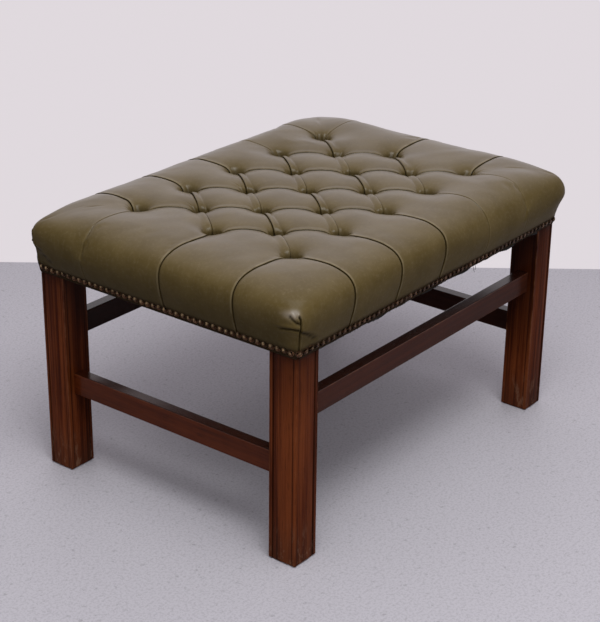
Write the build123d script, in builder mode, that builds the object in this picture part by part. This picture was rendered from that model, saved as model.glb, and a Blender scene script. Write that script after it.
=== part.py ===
from build123d import *
import os
from math import asin, cos, pi, sin, sqrt

os.makedirs("parts", exist_ok=True)

# Sizes of the stool in millimetres; the long way is X, the short way is Y, the floor is Z = 0
SPAN_X, SPAN_Y = 641, 466           # over the outer faces of the legs
LEG = 45                            # square section of a leg
SEAT_EDGE = 310                     # underside of the seat rails and lower edge of the leather
HALF_X, HALF_Y = SPAN_X / 2, SPAN_Y / 2
FIT = 0.3                           # gap left round pegs, shanks and soft layers
CORNERS = (("front_left", -1, -1), ("front_right", 1, -1), ("back_left", -1, 1), ("back_right", 1, 1))

# Joinery
RAIL_H, RAIL_T = 45, 22
DOWEL_D, DOWEL_L = 8, 34
DOWEL_RISES = (13, 32)              # dowel heights above the underside of a rail
BAR_H, BAR_T, BAR_EASE = 33, 19, 2  # stretchers
HIGH_BAR, LOW_BAR = SEAT_EDGE - 90, SEAT_EDGE - 171  # centre heights of the long and the short stretchers
TENON_H, TENON_T, TENON_L = 24, 9, 24
BLOCK_REACH, BLOCK_H, BLOCK_LIFT, BLOCK_GRIP = 60, 30, 8, 10  # grip is the wood under a screw head
SCREW_D, SCREW_L, HEAD_D, HEAD_H, SCREW_MARGIN = 4, 26, 8, 3, 76
BOARD_T, BOARD_INSET = 12, 3
RAIL_TOP = SEAT_EDGE + RAIL_H
BOARD_TOP = RAIL_TOP + BOARD_T

# Moulding run down the two outer faces of a leg
BEAD, QUIRK_W, QUIRK_D, FIELD_DROP, CORNER_R = 5.2, 1.8, 1.8, 1, 4
FOOT_CHAMFER = 2.5

# Leather, padding and the button grid
LEATHER, CLOTH = 1.5, 0.8
BAND_H = 15                         # flat band of leather under the nails
ROWS = (5, 4, 5, 4, 5)
MARGIN_X, MARGIN_Y = 108.5, 95      # from the outer buttons to the faces of the legs
BUTTON_X, BUTTON_Y = (SPAN_X - 2 * MARGIN_X) / 4, (SPAN_Y - 2 * MARGIN_Y) / 4
BUTTON_D, BUTTON_RIM, BUTTON_DOME = 15, 2, 4
TWINE_D, TOGGLE_D, TOGGLE_H, KNOT_D, KNOT_H = 2, 12, 4, 5, 3
BELLY_Z = SEAT_EDGE + 45            # where the sides stand out furthest
CREST_Z = SEAT_EDGE + 87            # where the top turns over, at a pleat
PLEAT_Z = SEAT_EDGE + 84            # middle of a pleat between two buttons
BUTTON_DIP, WELL_FLOOR = 6, PLEAT_Z - 13
CREST_IN, BULGE = 40, 11
FULL_TOP, FULL_SIDE = 5, 4          # how far a panel swells between its pleats
SAG, EDGE_SAG = 0.13, 0.075         # crown of a pillow for each unit of its width
PLEAT_HALF, NOTCH = 1.5, 16         # half widths of a pleat on top and of a notch at an end
DIP_RUN, CROWN_RUN = 30, 60         # lengths over which an end pleat rises and an end pillow flattens
BAND_R, BELLY_R = 4.2, 24           # corner radii in plan, low and high

# Nails and staples
NAIL_D, NAIL_H, NAIL_SHANK, NAIL_IN, NAIL_PITCH, NAIL_END = 9.6, 2.8, 1.6, 5.5, 10.8, 8
NAIL_Z = SEAT_EDGE + 7
STAPLE_W, STAPLE_L, STAPLE_WIRE = 10, 6, 1
STAPLE_PITCH, CLOTH_INSET = 60, 4

buttons_at = [((i - (n - 1) / 2) * BUTTON_X, (row - 2) * BUTTON_Y)
              for row, n in enumerate(ROWS) for i in range(n)]


# Nail places: each stands on the outside of the leather and looks outward
def nail_row(span):
    steps = round((span - 2 * NAIL_END) / NAIL_PITCH)
    reach = span / 2 - NAIL_END
    return [reach * (2 * k / steps - 1) for k in range(steps + 1)]


out_x, out_y = HALF_X + LEATHER, HALF_Y + LEATHER
nails_at = {
    "front": [Location((x, -out_y, NAIL_Z), (90, 0, 0)) for x in nail_row(SPAN_X)],
    "back": [Location((x, out_y, NAIL_Z), (-90, 0, 0)) for x in nail_row(SPAN_X)],
    "left": [Location((-out_x, y, NAIL_Z), (0, -90, 0)) for y in nail_row(SPAN_Y)],
    "right": [Location((out_x, y, NAIL_Z), (0, 90, 0)) for y in nail_row(SPAN_Y)],
}
all_nails = [place for side in nails_at.values() for place in side]


# Holes for the nail shanks, cut into the part being built
def nail_holes(places):
    with Locations(*places):
        Cylinder(NAIL_SHANK / 2 + FIT, 2 * (NAIL_IN + LEATHER), mode=Mode.SUBTRACT)


# Places of the dowels, two in each end of each rail, with the turn that lays them along the rail
rail_line_x, rail_line_y = HALF_X - RAIL_T / 2, HALF_Y - RAIL_T / 2
leg_in_x, leg_in_y = HALF_X - LEG, HALF_Y - LEG
dowels_at = [
    Location(spot, turn)
    for _, sx, sy in CORNERS
    for rise in DOWEL_RISES
    for spot, turn in (
        ((sx * leg_in_x, sy * rail_line_y, SEAT_EDGE + rise), (0, 90, 0)),
        ((sx * rail_line_x, sy * leg_in_y, SEAT_EDGE + rise), (90, 0, 0)),
    )
]


def dowel_holes():
    with Locations(*dowels_at):
        Cylinder(DOWEL_D / 2 + FIT, DOWEL_L, mode=Mode.SUBTRACT)


# Screw places: through the corner blocks into the rails, and down through the board into the rails
block_screw = BLOCK_REACH / 2
block_z = SEAT_EDGE + BLOCK_LIFT + BLOCK_H / 2
block_screws_at = [
    Location(spot, turn)
    for _, sx, sy in CORNERS
    for spot, turn in (
        ((sx * (leg_in_x - block_screw), sy * (HALF_Y - RAIL_T - BLOCK_GRIP), block_z), (sy * 90, 0, 0)),
        ((sx * (HALF_X - RAIL_T - BLOCK_GRIP), sy * (leg_in_y - block_screw), block_z), (0, -sx * 90, 0)),
    )
]
board_screws_at = [
    Location((x, y, BOARD_TOP - HEAD_H))
    for x, y in [(k * (leg_in_x - SCREW_MARGIN), s * rail_line_y) for s in (-1, 1) for k in (-1, 0, 1)]
    + [(s * rail_line_x, k * (leg_in_y - SCREW_MARGIN)) for s in (-1, 1) for k in (-1, 1)]
]


def screw_holes(places):
    with Locations(*places):
        Cylinder(SCREW_D / 2 + FIT, SCREW_L, align=(Align.CENTER, Align.CENTER, Align.MAX), mode=Mode.SUBTRACT)


# Staple places round the underside: middle of the crown and its turn about Z
def staple_row(span):
    steps = round((span - 2 * LEG - STAPLE_PITCH) / STAPLE_PITCH)
    reach = span / 2 - LEG - STAPLE_PITCH / 2
    return [reach * (2 * k / steps - 1) for k in range(steps + 1)]


cloth_z = SEAT_EDGE - CLOTH
staples_at = [Location((x, s * rail_line_y, cloth_z)) for s in (-1, 1) for x in staple_row(SPAN_X)]
staples_at += [Location((s * rail_line_x, y, cloth_z), (0, 0, 90)) for s in (-1, 1) for y in staple_row(SPAN_Y)]
staple_legs = [place * Pos(s * (STAPLE_W - STAPLE_WIRE) / 2) for place in staples_at for s in (-1, 1)]


def staple_holes():
    with Locations(*staple_legs):
        Box(STAPLE_WIRE + 2 * FIT, STAPLE_WIRE + 2 * FIT, 2 * STAPLE_L, mode=Mode.SUBTRACT)


# Legs: square posts with beads, quirks and a swelled field on both outer faces, mortised inside
quirk_far = LEG - BEAD
moulding = [(CORNER_R, 0), (BEAD, 0), (BEAD + QUIRK_W / 2, QUIRK_D), (BEAD + QUIRK_W, FIELD_DROP)]
moulding_end = [(quirk_far - QUIRK_W, FIELD_DROP), (quirk_far - QUIRK_W / 2, QUIRK_D), (quirk_far, 0), (LEG, 0)]

for name, sx, sy in CORNERS:
    def placed(u, v):
        return sx * (HALF_X - u), sy * (HALF_Y - v)

    with BuildPart() as leg:
        with BuildSketch():
            with BuildLine():
                for swap in (False, True):
                    at = (lambda p: placed(p[1], p[0])) if swap else (lambda p: placed(*p))
                    Polyline(*[at(p) for p in moulding])
                    ThreePointArc(at(moulding[-1]), at((LEG / 2, 0)), at(moulding_end[0]))
                    Polyline(*[at(p) for p in moulding_end], placed(LEG, LEG))
                corner_mid = CORNER_R * (1 - sqrt(0.5))
                ThreePointArc(placed(CORNER_R, 0), placed(corner_mid, corner_mid), placed(0, CORNER_R))
            make_face()
        extrude(amount=RAIL_TOP)
        with BuildSketch(Plane.XY):
            with Locations(placed(LEG / 2, LEG / 2)):
                Rectangle(2 * LEG, 2 * LEG)
                Rectangle(LEG - 2 * FOOT_CHAMFER, LEG - 2 * FOOT_CHAMFER, mode=Mode.SUBTRACT)
        extrude(amount=FOOT_CHAMFER, taper=45, mode=Mode.SUBTRACT)
        with Locations((sx * leg_in_x, sy * (HALF_Y - LEG / 2), HIGH_BAR)):
            Box(2 * TENON_L, TENON_T, TENON_H, mode=Mode.SUBTRACT)
        with Locations((sx * (HALF_X - LEG / 2), sy * leg_in_y, LOW_BAR)):
            Box(TENON_T, 2 * TENON_L, TENON_H, mode=Mode.SUBTRACT)
        dowel_holes()
        nail_holes([n for n in all_nails if n.position.X * sx > leg_in_x and n.position.Y * sy > leg_in_y])
    leg.part.label = f"leg_{name}"
    export_step(leg.part, f"parts/leg_{name}.step")

# Seat rails: plain bars between the legs, flush with their outer faces, under the leather
for name, sx, sy in (("front", 0, -1), ("back", 0, 1), ("left", -1, 0), ("right", 1, 0)):
    with BuildPart() as rail:
        with Locations((sx * rail_line_x, sy * rail_line_y, SEAT_EDGE)):
            Box(2 * leg_in_x if sy else RAIL_T, 2 * leg_in_y if sx else RAIL_T, RAIL_H,
                align=(Align.CENTER, Align.CENTER, Align.MIN))
        dowel_holes()
        screw_holes(block_screws_at)
        screw_holes(board_screws_at)
        staple_holes()
        nail_holes(nails_at[name])
    rail.part.label = f"rail_{name}"
    export_step(rail.part, f"parts/rail_{name}.step")

# Stretchers: eased bars tenoned into the legs, the long pair above the short pair
for name, along, s, z in (("front", "x", -1, HIGH_BAR), ("back", "x", 1, HIGH_BAR),
                          ("left", "y", -1, LOW_BAR), ("right", "y", 1, LOW_BAR)):
    if along == "x":
        centre, lie, half = (0, s * (HALF_Y - LEG / 2), z), (1, 0, 0), leg_in_x
    else:
        centre, lie, half = (s * (HALF_X - LEG / 2), 0, z), (0, 1, 0), leg_in_y
    across = Plane(centre, x_dir=(0, 0, 1), z_dir=lie)
    with BuildPart() as bar:
        with BuildSketch(across):
            RectangleRounded(BAR_H, BAR_T, BAR_EASE)
        extrude(amount=half, both=True)
        with BuildSketch(across):
            Rectangle(TENON_H, TENON_T)
        extrude(amount=half + TENON_L, both=True)
    bar.part.label = f"stretcher_{name}"
    export_step(bar.part, f"parts/stretcher_{name}.step")

# Corner blocks: notched round the inside of each leg and screwed to both rails
for name, sx, sy in CORNERS:
    in_x, in_y = HALF_X - RAIL_T, HALF_Y - RAIL_T
    outline = [(leg_in_x, in_y), (leg_in_x - BLOCK_REACH, in_y), (in_x, leg_in_y - BLOCK_REACH),
               (in_x, leg_in_y), (leg_in_x, leg_in_y)]
    with BuildPart() as block:
        with BuildSketch(Plane.XY.offset(SEAT_EDGE + BLOCK_LIFT)):
            with BuildLine():
                Polyline(*[(sx * x, sy * y) for x, y in outline], close=True)
            make_face()
        extrude(amount=BLOCK_H)
        screw_holes(block_screws_at)
        with Locations(*block_screws_at):
            Cylinder(HEAD_D / 2 + FIT, 2 * BLOCK_REACH, align=(Align.CENTER, Align.CENTER, Align.MIN),
                     mode=Mode.SUBTRACT)
    block.part.label = f"corner_block_{name}"
    export_step(block.part, f"parts/corner_block_{name}.step")

# Rail dowels
with BuildPart() as rail_dowels:
    with Locations(*dowels_at):
        Cylinder(DOWEL_D / 2, DOWEL_L)
rail_dowels.part.label = "rail_dowels"
export_step(rail_dowels.part, "parts/rail_dowels.step")

# Screws with flat heads, for the blocks and for the board
for name, places in (("corner_block_screws", block_screws_at), ("seat_board_screws", board_screws_at)):
    with BuildPart() as screws:
        with Locations(*places):
            Cylinder(SCREW_D / 2, SCREW_L, align=(Align.CENTER, Align.CENTER, Align.MAX))
            Cylinder(HEAD_D / 2, HEAD_H, align=(Align.CENTER, Align.CENTER, Align.MIN))
    screws.part.label = name
    export_step(screws.part, f"parts/{name}.step")

# Seat board: plywood on the rails, drilled for the button twine
with BuildPart() as seat_board:
    with BuildSketch(Plane.XY.offset(RAIL_TOP)):
        RectangleRounded(SPAN_X - 2 * BOARD_INSET, SPAN_Y - 2 * BOARD_INSET, BAND_R)
        with Locations(*buttons_at):
            Circle(TWINE_D / 2 + 1, mode=Mode.SUBTRACT)
    extrude(amount=BOARD_T)
    screw_holes(board_screws_at)
    with Locations(*board_screws_at):
        Cylinder(HEAD_D / 2 + FIT, HEAD_H, align=(Align.CENTER, Align.CENTER, Align.MIN), mode=Mode.SUBTRACT)
seat_board.part.label = "seat_board"
export_step(seat_board.part, "parts/seat_board.step")


# Outline of the upholstery where it is cut across at x, drawn from one nail band over to the other.
# Inset draws the same cushion smaller, for the inside of the leather and for the layers under it.
def cushion_section(x, inset):
    ax, end = abs(x), abs(x) - (HALF_X - inset)
    low, crest_in = SEAT_EDGE + BAND_H, CREST_IN - inset
    past = max(0, ax - 2 * BUTTON_X)
    if past:
        across, swell = 0, min(1, past / (MARGIN_X - CREST_IN))
        dip = BUTTON_DIP * max(0, 1 - past / DIP_RUN) ** 2
    else:
        across = swell = 1 - abs(2 * ((ax / BUTTON_X) % 1) - 1)
        dip = BUTTON_DIP * (2 * across - 1) ** 4
    fullness = 1 - (1 - swell) ** 3
    # squash the outline towards the belly line where the short end rounds over
    over = max(0, min(1, (end + crest_in) / (crest_in + BULGE + FULL_SIDE)))
    under = max(0, min(1, (end - LEATHER) / (BULGE + FULL_SIDE - LEATHER)))
    rise, drop = sqrt(max(0.004, 1 - over ** 2)), sqrt(max(0.004, 1 - under ** 2))

    def level(z):
        return BELLY_Z + (z - inset - BELLY_Z) * rise if z > BELLY_Z else BELLY_Z + (z - BELLY_Z) * drop

    def drawn_in(radius, stop):
        turn = max(0, min(radius, end - stop + radius))
        return radius - sqrt(radius ** 2 - turn ** 2)

    bulge = BULGE + FULL_SIDE * fullness
    belly = HALF_Y - inset + bulge - drawn_in(BELLY_R, BULGE + FULL_SIDE)
    crest = min(HALF_Y - CREST_IN, belly - 0.75 * (crest_in + bulge))
    band = min(HALF_Y - inset + LEATHER - drawn_in(BAND_R - inset, LEATHER), belly - 1)
    crest_z = CREST_Z + FULL_TOP * fullness
    inner = min(max(across * BUTTON_Y, PLEAT_HALF), BUTTON_Y - PLEAT_HALF)
    outer = 2 * BUTTON_Y - min(across * BUTTON_Y, BUTTON_Y - PLEAT_HALF)
    flatten = min(1, past / CROWN_RUN)
    pleat_z = PLEAT_Z - dip + (CREST_Z - PLEAT_Z) * flatten

    edge_crown = (pleat_z + crest_z) / 2 + EDGE_SAG * (crest - outer)
    side_crown = pleat_z + SAG * (outer - inner) * (1 - 0.6 * flatten)
    middle_crown = pleat_z + SAG * 2 * inner
    brow = (crest + 0.73 * (belly - crest), BELLY_Z + 0.73 * (crest_z - BELLY_Z))
    tuck = (band + 0.78 * (belly - band), low + 0.45 * (BELLY_Z - low))
    half = [(band, low), tuck, (belly, BELLY_Z), brow, (crest, crest_z), ((crest + outer) / 2, edge_crown),
            (outer, pleat_z), ((outer + inner) / 2, side_crown), (inner, pleat_z)]
    half = [(y, level(z)) for y, z in half]
    return [(-y, z) for y, z in half] + [(0, level(middle_crown))] + half[::-1]


# Stations of the sections: evenly over the buttons, then close together round the short ends
def cushion_stations(inset):
    grid = [k * BUTTON_X / 4 for k in range(9)] + [2 * BUTTON_X + DIP_RUN / 2, 2 * BUTTON_X + DIP_RUN]
    band_r, out = BAND_R - inset, BULGE + FULL_SIDE
    past_face = (-0.6 * CREST_IN, -0.25 * CREST_IN, LEATHER - band_r, LEATHER - 0.3 * band_r, LEATHER,
                 0.5 * out, 0.8 * out, out)
    plus = grid + [HALF_X - CREST_IN] + [HALF_X - inset + step for step in past_face]
    return [-x for x in plus[:0:-1]] + plus


# Cushion: lofted through the sections, with a cup for each button and a notch for each end pleat
def cushion(inset):
    with BuildPart() as body:
        for x in cushion_stations(inset):
            points = cushion_section(x, inset)
            with BuildSketch(Plane.YZ.offset(x)):
                with BuildLine():
                    for k in range(0, len(points) - 2, 2):
                        ThreePointArc(*points[k:k + 3])
                    Line(points[-1], points[0])
                make_face()
        loft(ruled=True)
        with Locations(*[(x, y, WELL_FLOOR - inset) for x, y in buttons_at]):
            Cylinder(BUTTON_D / 2 + FIT + inset, 50, align=(Align.CENTER, Align.CENTER, Align.MIN),
                     mode=Mode.SUBTRACT)
        apex = HALF_X - inset + BULGE
        with BuildSketch(Plane.XY.offset(SEAT_EDGE + BAND_H)):
            for s in (-1, 1):
                for y in (-2 * BUTTON_Y, 0, 2 * BUTTON_Y):
                    mouth = s * (apex + 2 * FULL_SIDE)
                    with BuildLine():
                        Polyline((s * apex, y), (mouth, y - NOTCH), (mouth, y + NOTCH), close=True)
                    make_face()
        extrude(amount=PLEAT_Z - SEAT_EDGE, mode=Mode.SUBTRACT)
    return body.part


# Hole for the twine under every button, down through whatever layer is being built
def twine_holes():
    with Locations(*[(x, y, BOARD_TOP) for x, y in buttons_at]):
        Cylinder(TWINE_D / 2 + FIT, 60, mode=Mode.SUBTRACT)


# Leather cover: the tufted skin and the flat band that the nails hold to the rails and legs
with BuildPart() as leather_cover:
    add(cushion(0))
    add(cushion(LEATHER), mode=Mode.SUBTRACT)
    with BuildSketch(Plane.XY.offset(SEAT_EDGE)):
        RectangleRounded(SPAN_X + 2 * LEATHER, SPAN_Y + 2 * LEATHER, BAND_R)
        RectangleRounded(SPAN_X, SPAN_Y, BAND_R - LEATHER, mode=Mode.SUBTRACT)
    extrude(amount=BAND_H)
    twine_holes()
    nail_holes(all_nails)
leather_cover.part.label = "leather_cover"
export_step(leather_cover.part, "parts/leather_cover.step")

# Foam pad: fills the leather and wraps down over the edges of the board and the rails
with BuildPart() as foam_pad:
    add(cushion(LEATHER + FIT))
    with Locations((0, 0, BOARD_TOP)):
        Box(SPAN_X + 2 * FIT, SPAN_Y + 2 * FIT, 100, align=(Align.CENTER, Align.CENTER, Align.MAX),
            mode=Mode.SUBTRACT)
    twine_holes()
foam_pad.part.label = "foam_pad"
export_step(foam_pad.part, "parts/foam_pad.step")


# Point half way up the domed head of a button or a nail
def dome_middle(width, height):
    radius = (width ** 2 / 4 + height ** 2) / (2 * height)
    turn = asin(width / 2 / radius) / 2
    return radius * sin(turn), height - radius * (1 - cos(turn))


# Buttons: covered domes in the cups of the leather
dome_out, dome_up = dome_middle(BUTTON_D, BUTTON_DOME)
button_h = BUTTON_RIM + BUTTON_DOME
with BuildPart() as button:
    with BuildSketch(Plane.XZ):
        with BuildLine():
            Polyline((0, button_h), (0, 0), (BUTTON_D / 2, 0), (BUTTON_D / 2, BUTTON_RIM))
            ThreePointArc((BUTTON_D / 2, BUTTON_RIM), (dome_out, BUTTON_RIM + dome_up), (0, button_h))
        make_face()
    revolve(axis=Axis.Z)
with BuildPart() as buttons:
    with Locations(*[(x, y, WELL_FLOOR) for x, y in buttons_at]):
        add(button.part)
buttons.part.label = "buttons"
export_step(buttons.part, "parts/buttons.step")

# Twine: from each button through the board to a knot under a wooden toggle
toggle_z = RAIL_TOP - TOGGLE_H
with BuildPart() as button_twine:
    with Locations(*[(x, y, toggle_z) for x, y in buttons_at]):
        Cylinder(TWINE_D / 2, WELL_FLOOR - toggle_z, align=(Align.CENTER, Align.CENTER, Align.MIN))
        Cylinder(KNOT_D / 2, KNOT_H, align=(Align.CENTER, Align.CENTER, Align.MAX))
button_twine.part.label = "button_twine"
export_step(button_twine.part, "parts/button_twine.step")

with BuildPart() as twine_toggles:
    with BuildSketch(Plane.XY.offset(toggle_z)):
        with Locations(*buttons_at):
            Circle(TOGGLE_D / 2)
            Circle(TWINE_D / 2 + FIT, mode=Mode.SUBTRACT)
    extrude(amount=TOGGLE_H)
twine_toggles.part.label = "twine_toggles"
export_step(twine_toggles.part, "parts/twine_toggles.step")

# Nails: domed heads set edge to edge round the lower edge of the leather
with BuildPart() as nail:
    with BuildSketch(Plane.XZ):
        with BuildLine():
            Polyline((0, NAIL_H), (0, -NAIL_IN - LEATHER), (NAIL_SHANK / 2, -NAIL_IN - LEATHER),
                     (NAIL_SHANK / 2, 0), (NAIL_D / 2, 0))
            ThreePointArc((NAIL_D / 2, 0), dome_middle(NAIL_D, NAIL_H), (0, NAIL_H))
        make_face()
    revolve(axis=Axis.Z)
for side, places in nails_at.items():
    with BuildPart() as nails:
        with Locations(*places):
            add(nail.part)
    nails.part.label = f"nails_{side}"
    export_step(nails.part, f"parts/nails_{side}.step")

# Dust cover: cloth under the rails, notched round the legs, and its staples
with BuildPart() as dust_cover:
    with BuildSketch(Plane.XY.offset(cloth_z)):
        Rectangle(SPAN_X - 2 * CLOTH_INSET, SPAN_Y - 2 * CLOTH_INSET)
        with Locations(*[(sx * HALF_X, sy * HALF_Y) for _, sx, sy in CORNERS]):
            Rectangle(2 * LEG + 2, 2 * LEG + 2, mode=Mode.SUBTRACT)
    extrude(amount=CLOTH)
    staple_holes()
dust_cover.part.label = "dust_cover"
export_step(dust_cover.part, "parts/dust_cover.step")

with BuildPart() as dust_cover_staples:
    with Locations(*staples_at):
        Box(STAPLE_W, STAPLE_WIRE, STAPLE_WIRE, align=(Align.CENTER, Align.CENTER, Align.MAX))
    with Locations(*staple_legs):
        Box(STAPLE_WIRE, STAPLE_WIRE, STAPLE_L, align=(Align.CENTER, Align.CENTER, Align.MIN))
dust_cover_staples.part.label = "dust_cover_staples"
export_step(dust_cover_staples.part, "parts/dust_cover_staples.step")
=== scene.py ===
import bpy
import math
import random
from functools import partial
import numpy as np
from mathutils import Matrix, Vector, noise


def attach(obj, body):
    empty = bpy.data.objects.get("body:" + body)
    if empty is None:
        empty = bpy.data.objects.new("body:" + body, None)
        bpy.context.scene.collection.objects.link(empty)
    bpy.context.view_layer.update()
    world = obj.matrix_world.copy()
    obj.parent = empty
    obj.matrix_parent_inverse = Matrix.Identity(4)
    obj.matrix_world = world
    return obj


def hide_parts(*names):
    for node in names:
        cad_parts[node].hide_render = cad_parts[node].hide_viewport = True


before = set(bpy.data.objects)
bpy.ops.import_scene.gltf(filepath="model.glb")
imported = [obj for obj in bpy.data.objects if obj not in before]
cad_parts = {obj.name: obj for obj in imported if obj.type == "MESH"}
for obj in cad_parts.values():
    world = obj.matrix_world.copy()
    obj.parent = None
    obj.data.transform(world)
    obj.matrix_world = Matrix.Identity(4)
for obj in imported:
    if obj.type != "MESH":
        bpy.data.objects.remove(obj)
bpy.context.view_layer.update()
scene = bpy.context.scene
scene.view_settings.view_transform = "Standard"


# The viewpoint: a standing photographer's eye, 1.2 m up and 2.5 m off the near corner of the stool,
# looking down on it with a slight lean. The frame is 600 by 622, so its height sets the lens.
heading, fall, lean = (math.radians(a) for a in (52.124, 23.769, 0.685))
ahead = Vector((math.sin(heading) * math.cos(fall), math.cos(heading) * math.cos(fall), -math.sin(fall)))
aside = ahead.cross(Vector((0, 0, 1))).normalized()
above = aside.cross(ahead)
right = aside * math.cos(lean) + above * math.sin(lean)
upward = above * math.cos(lean) - aside * math.sin(lean)
camera = bpy.data.objects.new("camera", bpy.data.cameras.new("camera"))
scene.collection.objects.link(camera)
sensor_high, focal_px, frame_px = 36, 1624.76, 622
camera.data.lens = sensor_high * focal_px / frame_px
camera.matrix_world = Matrix((right, upward, -ahead)).transposed().to_4x4()
camera.location = (-1.78146, -1.37303, 1.19353)
scene.camera = camera


# The legs: four square posts of mahogany, stained dark. A bead and a quirk are run down both edges of the two
# outer faces, beside a swelled field. Satin polish, rubbed on the arrises and scuffed at the feet. Painted
# shade darkens the quirks, the tops of the legs under the seat, and the faces that look in under it.
mm = 0.001
leg_x, leg_y, leg_half = 0.298, 0.2105, 0.0225        # middle lines of the legs, and half their width


# a node in the tree of its inputs, which are set to values or joined to other nodes, by name or by number
def put(kind, inputs, tree=None, **settings):
    if tree is None:
        tree = next(v.id_data for v in inputs.values() if isinstance(v, bpy.types.NodeSocket))
    node = tree.nodes.new("ShaderNode" + kind)
    for name, value in settings.items():
        setattr(node, name, value)
    for name, value in inputs.items():
        if isinstance(value, bpy.types.NodeSocket):
            tree.links.new(value, node.inputs[name])
        else:
            node.inputs[name].default_value = value
    return node


def reckon(operation, *terms):
    return put("Math", dict(enumerate(terms)), operation=operation).outputs[0]


times, plus, minus, most = (partial(reckon, sign) for sign in ("MULTIPLY", "ADD", "SUBTRACT", "MAXIMUM"))


# a mask that goes smoothly from 0 at low to 1 at high
def fade(value, low, high):
    ends = {"Value": value, "From Min": low, "From Max": high}
    return put("MapRange", ends, interpolation_type="SMOOTHSTEP").outputs["Result"]


def clouds(place, scale, detail=2.0, roughness=0.5):
    node = put("TexNoise", {"Vector": place, "Scale": scale, "Detail": detail, "Roughness": roughness})
    return node.outputs["Fac"]


def stretched(place, scale, turn=(0, 0, 0), shift=(0, 0, 0)):
    turned = put("Mapping", {"Vector": place, "Rotation": turn, "Location": shift})
    return put("Mapping", {"Vector": turned.outputs[0], "Scale": scale}).outputs[0]


def blended(share, under, over):
    return put("Mix", {0: share, 6: under, 7: over}, data_type="RGBA").outputs[2]


def feed(sockets, name, value):
    value.id_data.links.new(value, sockets[name])


# a colour laid over another where a mask is, at a share of its strength: stains and wear, and painted shade
# and highlights
def overlaid(shade, mask, share, colour):
    return blended(times(mask, share), shade, colour)


def new_group(name, takes, gives):
    group = bpy.data.node_groups.new(name, "ShaderNodeTree")
    for socket in takes:
        kind = "NodeSocketVector" if socket == "Place" else "NodeSocketFloat"
        group.interface.new_socket(socket, in_out="INPUT", socket_type=kind)
    for socket in gives:
        group.interface.new_socket(socket, in_out="OUTPUT", socket_type="NodeSocketFloat")
    return group, group.nodes.new("NodeGroupInput").outputs, group.nodes.new("NodeGroupOutput").inputs


# figure of the wood, its grain along Z: broad bands, fine streaks and open pores
figure, given, out = new_group("wood_figure", ["Place"], ["Tone", "Pores"])
bands = clouds(stretched(given["Place"], (26, 26, 1.7)), 1.0, 3.0, 0.55)
streaks = clouds(stretched(given["Place"], (190, 190, 3.5)), 1.0, 4.0, 0.65)
tone = plus(times(bands, 0.55), times(streaks, 0.45))
pits = clouds(stretched(given["Place"], (1500, 1500, 45)), 1.0, 1.0)
feed(out, "Tone", fade(tone, 0.37, 0.63))
feed(out, "Pores", fade(pits, 0.60, 0.70))

# wear: patchy along an edge, Near being 1 on the very edge
wear, given, out = new_group("edge_wear", ["Place", "Near", "Start"], ["Worn"])
patchy = clouds(given["Place"], 38.0, 4.0, 0.6)
reached = plus(given["Near"], times(minus(patchy, 0.5), 0.30))
feed(out, "Worn", fade(reached, given["Start"], 1.06))


def use(group, **inputs):
    return put("Group", inputs, node_tree=group).outputs


# a new material with some of its shader's inputs set, those inputs, and Object coordinates
def finish_of(name, **settings):
    made = bpy.data.materials.get(name)
    if made:
        made.name = name + "_cad"
    made = bpy.data.materials.new(name)
    made.use_nodes = True
    shader = made.node_tree.nodes["Principled BSDF"].inputs
    for socket, value in settings.items():
        shader[socket.replace("_", " ")].default_value = value
    place = made.node_tree.nodes.new("ShaderNodeTexCoord").outputs["Object"]
    return made, shader, place


def bump(shader, height, distance, strength=1.0):
    node = put("Bump", {"Height": height, "Distance": distance, "Strength": strength})
    feed(shader, "Normal", node.outputs[0])


# how far a point is from the middle line of a stick, as a share of its half width, each way
def across_stick(one, middle, half):
    return reckon("DIVIDE", reckon("ABSOLUTE", minus(one, middle)), half)


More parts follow.
